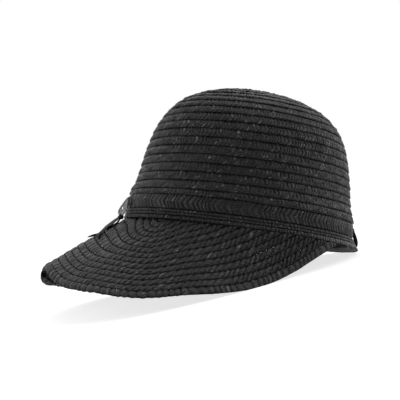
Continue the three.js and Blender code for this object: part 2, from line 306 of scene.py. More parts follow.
def closed_route(rows, samples):
    """A smooth closed curve through a table of (out, up), evenly spaced."""
    knots = np.array(rows, float)
    count = len(knots)
    per_knot = 40
    t = np.linspace(0, count, per_knot * count, endpoint=False)
    i = t.astype(int)
    f = (t - i)[:, None]
    p = [knots[(i + k) % count] for k in (-1, 0, 1, 2)]
    line = 0.5 * (
        2 * p[1] + (p[2] - p[0]) * f
        + (2 * p[0] - 5 * p[1] + 4 * p[2] - p[3]) * f ** 2
        + (3 * p[1] - p[0] - 3 * p[2] + p[3]) * f ** 3
    )
    line = np.vstack([line, line[:1]])
    run = by_length(*line.T)
    even = np.linspace(0, run[-1], samples)
    return np.stack([np.interp(even, run, line[:, k]) for k in range(2)], 1), run[-1]


# ---- Materials ----

def add_node(tree, kind, values=None, **settings):
    """Adds a node. Each value is a socket to link from or a constant for its input."""
    node = tree.nodes.new(kind)
    for name, value in settings.items():
        setattr(node, name, value)
    for name, value in (values or {}).items():
        if isinstance(value, bpy.types.NodeSocket):
            tree.links.new(value, node.inputs[name])
        else:
            node.inputs[name].default_value = value
    return node


def math_node(tree, operation, a, b=0.0, c=0.0):
    return add_node(tree, "ShaderNodeMath", {0: a, 1: b, 2: c}, operation=operation).outputs[0]


def times(tree, a, b):
    return math_node(tree, "MULTIPLY", a, b)


def apart(tree, a, b):
    return math_node(tree, "ABSOLUTE", math_node(tree, "SUBTRACT", a, b))


def map_range(tree, value, low, high, to_low=0.0, to_high=1.0):
    node = add_node(
        tree, "ShaderNodeMapRange",
        {"Value": value, "From Min": low, "From Max": high, "To Min": to_low, "To Max": to_high},
        interpolation_type="SMOOTHSTEP",
    )
    return node.outputs["Result"]


def new_group(name, inputs, outputs):
    """A shader node group with named number inputs and outputs."""
    group = bpy.data.node_groups.new(name, "ShaderNodeTree")
    for label, default in inputs.items():
        socket = group.interface.new_socket(label, in_out="INPUT", socket_type="NodeSocketFloat")
        socket.default_value = default
    for label in outputs:
        group.interface.new_socket(label, in_out="OUTPUT", socket_type="NodeSocketFloat")
    return group, group.nodes.new("NodeGroupInput").outputs, group.nodes.new("NodeGroupOutput")


def straw_plait():
    """Slanting straws of a plait: their height, a random tone for each straw, partly its own and
    partly painted highlight, and which of them carry a painted glint."""
    inputs = {"Along": 0.0, "Across": 0.0, "Pitch": 2.9, "Slant": 1.0, "Ridge": 0.5}
    group, given, result = new_group("straw_plait", inputs, ("Height", "Shade", "Glint"))
    off_ridge = apart(group, given["Across"], given["Ridge"])
    turns = math_node(group, "DIVIDE", given["Along"], given["Pitch"])
    bunch = math_node(group, "SINE", times(group, turns, UNEVEN_EVERY))
    turns = math_node(group, "MULTIPLY_ADD", bunch, UNEVEN, turns)
    turns = math_node(group, "MULTIPLY_ADD", off_ridge, given["Slant"], turns)
    height = math_node(group, "SINE", times(group, turns, math.pi))
    height = math_node(group, "POWER", math_node(group, "ABSOLUTE", height), STRAW_ROUNDNESS)
    half = math_node(group, "GREATER_THAN", given["Across"], given["Ridge"])
    half_apart = 57.3
    straw = math_node(group, "MULTIPLY_ADD", half, half_apart, math_node(group, "FLOOR", turns))
    noise = add_node(group, "ShaderNodeTexWhiteNoise", {"W": straw}, noise_dimensions="1D")
    crest = map_range(group, height, 0.55, 0.95)
    bright = map_range(group, noise.outputs["Value"], 0.72, 0.92)
    group.links.new(height, result.inputs["Height"])
    group.links.new(noise.outputs["Value"], result.inputs["Shade"])
    group.links.new(times(group, crest, bright), result.inputs["Glint"])
    return group


def straw_fibre():
    """Fine fibres along a straw, broad patches of another hue, and specks for painted glints."""
    inputs = {"Along": 0.0, "Across": 0.0, "Lean": 0.0}
    group, given, result = new_group("straw_fibre", inputs, ("Fibre", "Patch", "Speck"))
    skew = math_node(group, "MULTIPLY_ADD", given["Across"], given["Lean"], given["Along"])
    place = add_node(group, "ShaderNodeCombineXYZ", {"X": skew, "Y": given["Across"]}).outputs[0]
    for label, per_mm, detail in (("Fibre", 0.9, 2.0), ("Patch", 0.07, 3.0), ("Speck", 0.33, 0.0)):
        values = {"Vector": place, "Scale": per_mm, "Detail": detail}
        noise = add_node(group, "ShaderNodeTexNoise", values).outputs[0]
        if label == "Speck":
            noise = map_range(group, noise, 0.54, 0.66)
        group.links.new(noise, result.inputs[label])
    return group


GROUPS = {"straw_plait": straw_plait, "straw_fibre": straw_fibre}


def add_group(tree, name, values):
    """Adds a node of a group, which is built the first time, and gives its results."""
    group = bpy.data.node_groups.get(name) or GROUPS[name]()
    return add_node(tree, "ShaderNodeGroup", values, node_tree=group).outputs


def mixed(tree, factor, a, b):
    """Mixes two colours, each a socket or a plain colour."""
    a, b = (end if isinstance(end, bpy.types.NodeSocket) else (*end, 1) for end in (a, b))
    factor_in, a_in, b_in, colour_out = 0, 6, 7, 2
    values = {factor_in: factor, a_in: a, b_in: b}
    return add_node(tree, "ShaderNodeMix", values, data_type="RGBA").outputs[colour_out]


def tint(colour, red, green, blue):
    return colour[0] * red, colour[1] * green, colour[2] * blue


def principled(name, roughness, specular):
    """A new material with its node tree and its shader."""
    material = bpy.data.materials.new(name)
    material.use_nodes = True
    tree = material.node_tree
    shader = tree.nodes["Principled BSDF"]
    shader.inputs["Roughness"].default_value = roughness
    shader.inputs["Specular IOR Level"].default_value = specular
    return material, tree, shader


def add_bump(tree, shader, height, strength, depth):
    """Bumps the shader's surface by a height, to a depth in millimetres."""
    values = {"Height": height, "Strength": strength, "Distance": depth * MM}
    tree.links.new(add_node(tree, "ShaderNodeBump", values).outputs[0], shader.inputs["Normal"])


# Painted shade for the folds between rows and straws: near black, and matt
PAINTED_FOLD_SHADE = (0.0010, 0.0010, 0.0011)
FOLD_ROUGHNESS = 0.95


def fold_mask(tree, across, folds):
    """1 on open straw and 0 in each fold: (where across the row, how wide)."""
    mask, darkest = 1.0, 0.2
    for centre, width in folds:
        off = apart(tree, across, centre)
        mask = times(tree, map_range(tree, off, darkest * width, width), mask)
    return mask


def uv_places(tree):
    """Where a point lies along its piece in millimetres, and across it in shares."""
    coords = add_node(tree, "ShaderNodeUVMap").outputs[0]
    split = add_node(tree, "ShaderNodeSeparateXYZ", {0: coords}).outputs
    return split["X"], split["Y"]


def straw_material(name, look, folds=()):
    """Black straw plait. look holds its colours and plait sizes; folds are painted shade along it.
    """
    material, tree, shader = principled(name, look["roughness"], look["specular"])
    along, across = uv_places(tree)

    def plait(sizes):
        values = {label.title(): sizes[label] for label in ("pitch", "slant", "ridge")}
        values |= {"Along": along, "Across": across}
        return add_group(tree, "straw_plait", values)

    straws = dict(plait(look).items())
    if "fine" in look:
        # Finer straws towards the front of the cap
        fine = look["fine"]
        finer = plait(fine)
        spot = add_node(tree, "ShaderNodeTexCoord").outputs["Object"]
        spot = add_node(tree, "ShaderNodeSeparateXYZ", {0: spot}).outputs["Y"]
        front = map_range(tree, spot, *fine["where"], fine["share"], 0.0)
        for label, coarse in straws.items():
            change = math_node(tree, "SUBTRACT", finer[label], coarse)
            straws[label] = math_node(tree, "MULTIPLY_ADD", change, front, coarse)

    wide = times(tree, across, look["width"])
    values = {"Along": along, "Across": wide, "Lean": look["lean"]}
    fibre = add_group(tree, "straw_fibre", values)
    # Painted shade and highlight: the valleys between straws take the dark colour and their crests
    # the light one, standing in for light on glossy straw. Each straw's lightness is partly its own
    # uneven tone and partly painted highlight.
    crest = map_range(tree, straws["Height"], 0.35, 1.0)
    shade = math_node(tree, "POWER", straws["Shade"], 2.0)
    shade = times(tree, math_node(tree, "MULTIPLY_ADD", shade, 0.8, 0.2), crest)
    shade = times(tree, shade, map_range(tree, fibre["Fibre"], 0.35, 0.62))
    hue = map_range(tree, fibre["Patch"], 0.42, 0.58)
    cool, warm = (tint(look["light"], *by) for by in ((0.92, 0.98, 1.10), (1.06, 1.0, 0.86)))
    colour = mixed(tree, shade, look["dark"], mixed(tree, hue, cool, warm))
    # A stretch along the piece takes another crest colour: painted light on the foot row, a darker
    # colour at the end of the peak's edge row.
    if "pale" in look:
        start, stop, fade, shine = look["pale"]
        middle, half = (start + stop) / 2, (stop - start) / 2
        near = map_range(tree, apart(tree, along, middle), half, half - fade)
        colour = mixed(tree, near, colour, mixed(tree, crest, look["dark"], shine))
    # Painted glints: specks on the crests of some straws take a bright colour.
    glint = times(tree, straws["Glint"], fibre["Speck"])
    glint = times(tree, glint, look["glint"])
    colour = mixed(tree, glint, colour, look["bright"])
    # Painted shade in the folds, where rows and straws meet
    if folds:
        open_straw = fold_mask(tree, across, folds)
        colour = mixed(tree, open_straw, PAINTED_FOLD_SHADE, colour)
        rough = map_range(tree, open_straw, 0.0, 1.0, FOLD_ROUGHNESS, look["roughness"])
        tree.links.new(rough, shader.inputs["Roughness"])
    tree.links.new(colour, shader.inputs["Base Color"])
    height = math_node(tree, "MULTIPLY_ADD", fibre["Fibre"], look["fibre"], straws["Height"])
    add_bump(tree, shader, height, 1.0, look["depth"])
    return material


RIBBON = {
    "roughness": 0.55, "specular": 0.2, "rib": 0.45, "threads": 20, "bump": 0.25, "depth": 0.08,
    "dark": (0.002, 0.002, 0.002), "satin": (0.008, 0.008, 0.007), "sheer": (0.06, 0.06, 0.045),
}


def ribbon_material(name, sheer):
    """Black ribbon with fine ribs across its width. Where it is sheer, light shows between its
    threads, but not in the edges woven tight on both sides."""
    material, tree, shader = principled(name, RIBBON["roughness"], RIBBON["specular"])
    along, across = uv_places(tree)
    rib = math_node(tree, "SINE", times(tree, along, TURN / RIBBON["rib"]))
    values = {"Along": along, "Across": times(tree, across, RIBBON["threads"])}
    fibre = add_group(tree, "straw_fibre", values)["Fibre"]
    colour = mixed(tree, fibre, RIBBON["dark"], RIBBON["sheer" if sheer else "satin"])
    tree.links.new(colour, shader.inputs["Base Color"])
    height = math_node(tree, "MULTIPLY_ADD", fibre, 1.5, rib)
    add_bump(tree, shader, height, RIBBON["bump"], RIBBON["depth"])
    if sheer:
        tight = fold_mask(tree, across, ((0.0, 0.07), (0.5, 0.07), (1.0, 0.07)))
        thread = map_range(tree, fibre, 0.3, 0.7, 0.36, 0.82)
        clear = math_node(tree, "SUBTRACT", thread, 1.0)
        solid = math_node(tree, "MULTIPLY_ADD", clear, tight, 1.0)
        tree.links.new(solid, shader.inputs["Alpha"])
    return material


def straw_look(settings, **changes):
    """A straw's colours and sizes. The pitch is in millimetres, and the slant is how many straws
    one reaches past from its ridge to an edge; width is the row's in fibres."""
    look = {
        "dark": tuple(settings.straw_dark), "light": tuple(settings.straw_light),
        "roughness": settings.roughness, "specular": 0.4,
        "pitch": 2.9, "slant": 4.0, "ridge": 0.35, "width": 20.0, "lean": 0.0,
        # The glint colour is painted highlight on specks of the straws' crests.
        "glint": 0.8, "bright": (0.17, 0.17, 0.16), "fibre": 1.6, "depth": 0.45,
    }
    return {**look, **changes}


# ---- Settings ----

def size_setting(name, description, metres):
    return bpy.props.FloatProperty(
        name=name, description=description, default=metres, min=0.0, unit="LENGTH"
    )


def colour_setting(name, description, colour):
    return bpy.props.FloatVectorProperty(
        name=name, description=description, default=colour,
        size=3, min=0.0, max=1.0, subtype="COLOR",
    )


class CAP_PG_straw(bpy.types.PropertyGroup):
    # Besides the straws' own uneven tone, the dark colour paints shade into the valleys between
    # straws and the light one paints highlight on their crests.
    straw_dark: colour_setting("Dark Straw", "The darkest straws", (0.0014, 0.0015, 0.0016))
    straw_light: colour_setting("Light Straw", "The lightest straws", (0.050, 0.051, 0.050))
    roughness: bpy.props.FloatProperty(
        name="Roughness", description="How matt the straw is",
        default=0.27, min=0.0, max=1.0, subtype="FACTOR",
    )


class CAP_PG_crown(bpy.types.PropertyGroup):
    row_pitch: size_setting("Row Pitch", "Distance from one row of braid to the next", 0.0076)
    row_tuck: size_setting("Tuck", "How far a row lies under the one above it", 0.0017)
    bead_pitch: size_setting("Bead Pitch", "Distance between a row's beads", 0.0029)
    bead_height: size_setting("Bead Height", "How far the beads stand out", 0.00060)
    first_row: size_setting("First Row", "Height of the lowest row's edge above the foot", 0.0200)


class CAP_PG_band(bpy.types.PropertyGroup):
    stroke_pitch: size_setting("Stroke Pitch", "Distance between its slanting straws", 0.0038)
    stroke_height: size_setting("Stroke Height", "How far those straws stand out", 0.00055)


class CAP_PG_peak(bpy.types.PropertyGroup):
    row_pitch: size_setting("Row Pitch", "Distance from one row of the peak to the next", 0.0062)
    twist_pitch: size_setting("Twist Pitch", "Length of one lump of the twisted rows", 0.0056)
    row_thick: size_setting("Row Thickness", "Thickness of a row", 0.0027)


class CAP_PG_bow(bpy.types.PropertyGroup):
    ribbon_width: size_setting("Ribbon Width", "Width of the bow's ribbon", 0.009)
    ribbon_thick: size_setting("Ribbon Thickness", "Thickness of the bow's ribbon", 0.0009)


class CAP_PG_stage(bpy.types.PropertyGroup):
    camera_distance: size_setting("Camera Distance", "From the camera to the cap", 0.8)
    focal_length: bpy.props.FloatProperty(
        name="Focal Length", description="Focal length in millimetres", default=82.4, min=1.0
    )


# ---- Crown ----

def build_crown(scene):
    """One long spiral: each turn's upper edge lies under the turn above it."""
    sizes = scene.cap_crown
    pitch, tuck = sizes.row_pitch / MM, sizes.row_tuck / MM
    bead, bead_height = sizes.bead_pitch / MM, sizes.bead_height / MM
    band_down = down_at_height(BAND_TOP)
    line_down = down_at_height(sizes.first_row / MM)

    # Across a row from its lower edge up: how far up and out it stands in millimetres, and how
    # strong its straws are
    rows = np.array((
        (0.70, -1.15, 0.0), (0.00, -0.50, 0.3), (0.10, 0.20, 0.8), (0.80, 0.55, 1.0),
        (1.90, 0.50, 0.9), (3.10, 0.35, 0.8), (4.40, 0.28, 0.8), (5.90, 0.02, 0.7),
        (pitch, -0.62, 0.3), (pitch + tuck, -1.10, 0.0),
    ))
    edge_up, edge_out, strength = rows.T
    sides = len(rows)
    edge_beads = 0.25 * strength * (np.arange(sides) < 3)
    upper_half = 0.5 * (np.arange(sides) > 5)

    def angle_of(down):
        return math.pi / 2 - TURN * (down - line_down) / pitch

    coil_from, nearest_pole, samples = 0.9, 0.12, 60000
    last = band_down + pitch + tuck
    down = np.linspace(coil_from, last, samples)
    line = down - pitch / 2 * (down > pitch)
    run = by_length(*crown_point(line, angle_of(down), 0 * down))
    look = straw_look(scene.cap_straw, pitch=bead, slant=-1.75, ridge=0.53, width=16.0, lean=0.3)
    straw = straw_material("crown_straw", look, folds=((0.07, 0.09), (0.81, 0.07), (0.0, 0.1)))

    # Behind the band the braid's end is tucked in
    tucked_from, tucked_full, tucked_out = -BAND_TOP - 0.9, -BAND_TOP + 0.1, -2.2
    cut_share, steps_per_bead = 0.55, 5
    cut = run[-1] * cut_share
    for name, start, length in (
        ("crown_braid_upper", 0.0, cut),
        ("crown_braid_lower", cut, run[-1] - cut),
    ):
        def place(a, b, start=start, length=length):
            column = np.round(b * sides).astype(int) % sides
            mm = start + a * length
            here = np.interp(mm, run, down)
            beads = straw_wave(look, mm, column / sides, upper_half[column], 0.6)
            up = edge_up[column] - edge_beads[column] * beads
            row = np.maximum(here - up, nearest_pole)
            tucked = smoothstep(-CROWN_AT["height"](row), tucked_from, tucked_full)
            wander = 0.12 * np.sin(mm / 9.7) + 0.10 * np.sin(mm / 23.1 + 1.3)
            out = edge_out[column] + bead_height * strength[column] * beads + wander
            out = out * (1 - tucked) + tucked_out * tucked
            return standing(*crown_point(row, angle_of(here), out))

        bm = bmesh.new()
        add_skin(bm, int(length / (bead / steps_per_bead)), sides, place, length, start)
        add_piece(name, bm, straw, "crown")


def build_crown_inside(scene):
    """The inside skin with its ridges, closed by a skin hidden in the braid."""
    pitch = scene.cap_crown.row_pitch / MM
    hidden = 0.16
    around, deep = 160, 150
    girth = 560.0
    length = CROWN_AT["length"] - 0.6

    def place(a, b):
        inner = b > hidden
        share = np.where(inner, (1 - b) / (1 - hidden), b / hidden)
        down = np.maximum(share * length, 0.02)
        angle = TURN * a
        low = smoothstep(-CROWN_AT["height"](down), -BAND_TOP - 1.5, -BAND_TOP + 0.5)
        row = np.mod(down / pitch + a, 1)
        ridge = 0.35 * np.sin(math.pi * row) ** 0.6 * smoothstep(share, 0.02, 0.1)
        out = np.where(inner, -1.75 - ridge - 1.2 * low, -1.2 - 0.9 * low)
        return standing(*crown_point(down, angle, out))

    bm = bmesh.new()
    add_skin(bm, around, deep, place, girth, closed=True)
    # Painted light: the inside's light colour is twice the straw's, for the lit strip of it at the
    # back
    look = straw_look(
        scene.cap_straw, slant=90.0, ridge=0.0, width=180.0, light=(0.10, 0.10, 0.098),
    )
    add_piece("crown_inside", bm, straw_material("inside_straw", look), "crown")


def build_crown_button(scene):
    """The coiled start of the braid at the crown's pole."""
    turns, radius, thick, length = 2.2, 1.25, 1.1, 30.0
    coil_from, coil_out, bead_count = 0.5, 3.6, 13
    steps, sides = 90, 10

    def place(a, b):
        angle = TURN * turns * a + 0.4
        coil = coil_from + coil_out * a
        round_it = TURN * b
        beads = 1 + 0.12 * np.cos(TURN * bead_count * a + 2 * np.cos(round_it))
        end = np.minimum(1, 12 * np.minimum(a, 1 - a) + 0.12)
        away = coil + radius * np.cos(round_it) * end * beads
        up = 0.9 - 0.9 * a + thick * np.sin(round_it) * end * beads
        back = CROWN_AT["back"](np.zeros(1))[0]
        height = CROWN["height"][-1] - 0.1
        return standing(away * np.sin(angle), back - 1.1 * away * np.cos(angle), height + up - 0.6)

    bm = bmesh.new()
    add_skin(bm, steps, sides, place, length)
    look = straw_look(scene.cap_straw, pitch=2.2, slant=2.0, ridge=0.5)
    add_piece("crown_button", bm, straw_material("button_straw", look), "crown")


# ---- Band, foot row and keeper ----

def foot_length():
    """The running length round the foot's skin."""
    height, samples = 4.0, 2000
    angle = np.linspace(0, TURN, samples)
    return by_length(*foot_point(angle, height + 0 * angle, 0 * angle))


def even_angle(share):
    """The angle round the foot for a share of its length."""
    run = foot_length()
    return np.interp(share * run[-1], run, np.linspace(0, TURN, len(run)))


def build_hatband(scene):
    sizes = scene.cap_band
    girth = foot_length()[-1]
    strokes = int(girth / (sizes.stroke_pitch / MM))
    look = straw_look(scene.cap_straw, pitch=girth / strokes, slant=-2.2, ridge=0.4, width=20.0)
    lift = sizes.stroke_height / MM

    # Columns down the band's face, and two up its back
    face, back_inset, back_out = 12, 0.4, -1.3
    share = np.linspace(0, 1, face)
    arch = np.sin(math.pi * share)
    back = BAND_BOTTOM + back_inset, BAND_TOP - back_inset
    height = np.concatenate([BAND_TOP - (BAND_TOP - BAND_BOTTOM) * share, back])
    out = np.concatenate([-0.85 + 0.95 * arch ** 0.35, [back_out, back_out]])
    relief = lift * np.concatenate([np.minimum(1, 3 * arch), [0, 0]])
    sides = len(height)

    def place(a, b):
        column = np.round(b * sides).astype(int) % sides
        wave = straw_wave(look, a * girth, column / sides)
        up = height[column] + 0.18 * wave * ((column == 0) | (column == face - 1))
        return standing(*foot_point(even_angle(a), up, out[column] + relief[column] * wave))

    steps_per_stroke = 5
    bm = bmesh.new()
    add_skin(bm, strokes * steps_per_stroke, sides, place, girth, closed=True)
    straw = straw_material("band_straw", look, folds=((0.0, 0.05), (0.80, 0.05)))
    add_piece("hatband", bm, straw, "hatband")


# From the top down. Each starts some rounds further on in the straws' pattern, so that only the
# lowest row reaches the stretch of painted light at the back.
FOOT_ROWS = (
    {"low": 6.1, "high": 8.5, "out": 0.40, "lift": 0.35, "start": 2},
    {"low": 3.7, "high": 6.0, "out": 0.65, "lift": 0.40, "start": 4},
    {"low": 0.1, "high": 3.6, "out": 0.85, "lift": 0.50, "start": 0},
)


def build_foot_row(scene):
    girth = foot_length()[-1]
    sides, steps_per_bead = 10, 4
    bead_pitch, overlap, inner_out = 2.9, 0.08, -0.45
    beads = round(girth / bead_pitch)
    # Painted light: round the back, where the flared lowest row faces down to the floor, a stretch
    # takes a paler crest colour.
    pale_half, pale_fade = 130, 50
    look = straw_look(
        scene.cap_straw, pitch=girth / beads, slant=0.8, ridge=0.5, width=12.0,
        pale=(girth / 2 - pale_half, girth / 2 + pale_half, pale_fade, (0.13, 0.13, 0.125)),
    )
    bm = bmesh.new()
    for row in FOOT_ROWS:
        middle, half = (row["low"] + row["high"]) / 2, (row["high"] - row["low"]) / 2
        start = row["start"] * girth

        def place(a, b, row=row, middle=middle, half=half, start=start):
            turn = TURN * b
            outward = np.cos(turn)
            wave = straw_wave(look, start + a * girth, b, middle)
            swell = (row["out"] - inner_out) * outward * np.where(outward > 0, 1, 0.7)
            out = inner_out + swell + row["lift"] * wave * (outward > 0.2)
            up = middle + (half + overlap) * np.sin(turn)
            return standing(*foot_point(even_angle(a), up, out))

        add_skin(bm, beads * steps_per_bead, sides, place, girth, start, closed=True)
    straw = straw_material("foot_straw", look, folds=((0.27, 0.12), (0.73, 0.12)))
    add_piece("foot_row", bm, straw, "foot_row")


KEEPER = {
    "angle": 166.0, "height": (3.0, 6.2, 9.5, 13.0, 16.0, 18.6),
    "out": (3.6, 4.2, 3.6, 2.4, 0.9, 0.3),
}


def build_keeper(scene):
    steps, sides, waist, cords = 30, 14, 0.12, 4
    half_wide, half_thick, length = 4.0, 0.7, 17.0

    # It is deeper inwards than in the CAD, so that no light shows behind it
    inward = 3.4
    angle = math.radians(KEEPER["angle"])
    outward = foot_normal(np.float64(angle))
    out_at = smooth_through(KEEPER["height"], KEEPER["out"])
    ends = KEEPER["height"][0], KEEPER["height"][-1]

    def place(a, b):
        height = ends[0] + (ends[1] - ends[0]) * a
        turn = TURN * b
        wave = 0.12 * np.cos(TURN * cords * b) * np.sin(turn)
        side = half_wide * np.cos(turn) * (1 - waist * np.sin(math.pi * a) ** 2)
        deep = np.where(np.sin(turn) < 0, inward, 1.0) * half_thick
        thick = deep * blunt(np.sin(turn), 0.5) + wave
        share = foot_share(height)
        away = PEAK_TOP_GAP + out_at(height) + half_thick + thick
        x = HALF_WIDTH * share * math.sin(angle) + outward[0] * away - outward[1] * side
        y = -HALF_LENGTH * share * math.cos(angle) + outward[1] * away + outward[0] * side
        return standing(x, y, height)

    bm = bmesh.new()
    add_skin(bm, steps, sides, place, length)
    look = straw_look(
        scene.cap_straw, pitch=0.9, slant=9.0, ridge=0.0, width=24.0, glint=0.9, roughness=0.4,
        light=(0.05, 0.05, 0.048),
    )
    add_piece("band_keeper", bm, straw_material("keeper_straw", look), "band_keeper")


# ---- Peak ----

# The rows are counted from the edge in. The inner ones widen towards the front, which turns them
# in to the foot.
PEAK_ROWS = {"most": 20, "inset": 0.6, "inner": 6, "wider": 0.5, "wider_between": (10, 32)}

# Angles round the foot between which the twist changes
EDGE_FLAT = 58, 80
FAR_FLAT = 35, 60
NEAR_CALM = 30, 62
GAPS = 36, 48
TIP_THICK = 12, 38


def peak_rows(pitch):
    """Rows that follow the peak's edge, as the middle and half the width of each by angle."""
    degrees = np.linspace(-PEAK_END, PEAK_END, 1201)
    outer = PEAK_AT["reach"](np.abs(degrees)) - PEAK_ROWS["inset"]
    turning = 1 - smoothstep(np.abs(degrees), *PEAK_ROWS["wider_between"])
    evening = 41
    rows = []
    for number in range(PEAK_ROWS["most"]):
        here = points(*peak_point(degrees, outer, 0 * outer))
        inward = points(*peak_point(degrees, outer - 1, 0 * outer)) - here
        tangent = np.gradient(here, axis=0)
        tangent /= np.linalg.norm(tangent, axis=1, keepdims=True)
        across = np.clip(np.linalg.norm(np.cross(inward, tangent), axis=1), 0.5, 1)
        width = np.pad(pitch / across, evening // 2, mode="edge")
        width = np.convolve(width, np.ones(evening) / evening, "valid")
        width = width * (1 + PEAK_ROWS["wider"] * turning * (number >= PEAK_ROWS["inner"]))
        rows.append((outer - width / 2, width / 2))
        outer = outer - width
    return degrees, rows


def build_peak(scene):
    """Rows of twisted braid. A row ends where it runs in under the foot."""
    sizes = scene.cap_peak
    pitch, lump = sizes.row_pitch / MM, sizes.twist_pitch / MM
    half_thick = sizes.row_thick / MM / 2
    sides, fewest_steps, steps_per_lump = 12, 12, 8
    hidden = -0.42 * pitch
    overlap, depth, lumps_apart = 1.04, 1.0, 1000
    degrees, rows = peak_rows(pitch)
    edge_length = by_length(*peak_point(degrees, rows[0][0], 0 * degrees))[-1]
    look = straw_look(
        scene.cap_straw, pitch=lump, slant=1.2, ridge=0.75, width=14.0, bright=(0.11, 0.11, 0.105),
        light=(0.044, 0.045, 0.044), fibre=2.0, depth=0.6, glint=1.0,
        fine={"pitch": 2.6, "slant": 2.2, "ridge": 0.5, "where": (-0.125, -0.075), "share": 0.8},
        # The edge row's end on the cap's left takes a darker crest colour
        pale=(edge_length - 120, edge_length + 60, 40, (0.018, 0.019, 0.013)),
    )
    bm = bmesh.new()
    for number, (along, half) in enumerate(rows):
        shown = np.concatenate([[False], along > hidden, [False]])
        starts = np.flatnonzero(shown[1:] & ~shown[:-1])
        stops = np.flatnonzero(~shown[1:] & shown[:-1])
        for start, stop in zip(starts, stops):
            if stop - start < fewest_steps:
                continue
            part = slice(start, stop)
            angles, middles, halves = degrees[part], along[part], half[part]
            run = by_length(*peak_point(angles, np.maximum(middles, 0.1), 0 * middles))
            steps = max(fewest_steps, int(run[-1] / (lump / steps_per_lump)))
            offset = lump * (lumps_apart * number + 0.9 * unlike(number))
            lane = 2.0 * (number == 0)

            def place(a, b, number=number, angles=angles, middles=middles, halves=halves,
                      run=run, offset=offset, lane=lane):
                mm = a * run[-1]
                degree = np.interp(mm, run, angles)
                middle = np.interp(mm, run, middles)
                wide = np.interp(mm, run, halves) * overlap
                turn = TURN * b
                outermost, inner = number == 0, number > 0
                calm = 0.15 * (1 - smoothstep(degree, *NEAR_CALM)) * inner
                flat = 0.5 * smoothstep(degree, *EDGE_FLAT) * outermost
                flat = np.maximum(flat, 0.15 * smoothstep(degree, *FAR_FLAT) + calm)
                swell = 1.25 * straw_swell(look, offset + mm, lane + b, number, 0.45)
                swell = swell * (1 - flat) + 0.75 * flat
                gap = 0.8 * (number < 2) * smoothstep(degree, *GAPS)
                gap = gap * (unlike(np.floor(degree)) > 0.45)
                wide = wide * (0.80 + 0.25 * swell - gap * np.clip(1 - 3 * swell, 0, 1))
                wide = wide * (1 + 0.18 * (swell - STRAW_LEVEL) * outermost)
                out = half_thick * np.sin(turn) * (0.40 + 0.74 * swell) * (1 - 0.25 * flat)
                # At the tip the outer row hides the underside
                front = (1 - smoothstep(np.abs(degree), *TIP_THICK)) * outermost
                out = out * (1 + 1.7 * front * (out < 0))
                end = np.minimum(1, run[-1] * np.minimum(a, 1 - a) / 1.2 + 0.3)
                spot = np.maximum(middle + wide * blunt(np.cos(turn), 0.85) * end, 0.08)
                return standing(*peak_point(degree, spot, out * end - depth))

            add_skin(bm, steps, sides, place, run[-1], offset, lane)
    folds = (0.0, 0.15), (0.5, 0.16), (1.0, 0.15), (2.5, 0.04)
    straw = straw_material("peak_straw", look, folds)
    add_piece("peak", bm, straw, "peak")


# ---- Bow ----

# The loops' outlines seen from the side: out from the foot and up, in millimetres
UPPER_LOOP = (
    (5.2, 1.6), (7.6, 2.4), (8.1, 5.2), (6.4, 9.2), (4.3, 13.2), (1.9, 17.0), (0.9, 16.6),
    (1.0, 12.6), (2.1, 7.0), (4.0, 3.0),
)
LOWER_LOOP = (
    (6.6, -0.4), (9.8, -2.2), (13.6, -6.3), (16.9, -9.8), (16.5, -11.0), (14.3, -9.7),
    (11.2, -7.3), (7.6, -4.4),
)


def ribbon_loop(bm, rows, settings, swell, closing):
    """A ring of ribbon standing out from the front of the foot, narrow at the knot. swell widens
    it away from there, and closing draws its far side shut."""
    steps, sides = 72, 12
    line, length = closed_route(rows, steps + 1)
    tangent = np.roll(line[:-1], -1, 0) - np.roll(line[:-1], 1, 0)
    tangent = np.vstack([tangent, tangent[:1]])
    tangent /= np.linalg.norm(tangent, axis=1, keepdims=True)
    wide, thick = settings.ribbon_width / MM / 2, settings.ribbon_thick / MM / 2
    middle = line[:-1].mean(0)

    def place(a, b):
        i = np.round(a * steps).astype(int)
        turn = TURN * b
        far = np.linalg.norm(line[i] - line[0], axis=1)
        spread = wide * (0.62 + swell * np.minimum(1, far / 9))
        side = spread * blunt(np.cos(turn), 0.35)
        push = thick * np.sin(turn) + 0.35 * (side / wide) ** 2
        drawn = smoothstep(a, 0.02, 0.12) * smoothstep(a, 0.50, 0.38)
        push = push - (closing == 0) * drawn * 0.9 * (1 + side / wide)
        away = np.stack([tangent[i, 1], -tangent[i, 0]], 1)
        away *= np.sign(((line[i] - middle) * away).sum(1))[:, None]
        p = line[i] + away * push[:, None]
        shut = closing * smoothstep(-side / wide, -0.1, 1.0)
        p = p + (middle - p) * shut[:, None]
        return standing(side, -HALF_LENGTH - p[:, 0], p[:, 1])

    add_skin(bm, steps, sides, place, -length, closed=True)


# The tails' courses over the peak, from the knot to their ends
TAILS = {
    "bow_tail_near": {
        "angle": (1.0, 2.5, 6.5), "along": (16.0, 24.0, 34.0), "lift": (1.5, 1.8, 1.2),
    },
    "bow_tail_far": {
        "angle": (-2.5, -3.5, -3.0), "along": (14.0, 26.0, 36.5), "lift": (1.5, 0.7, 2.2),
    },
}
TAIL_LENGTH = 30.0


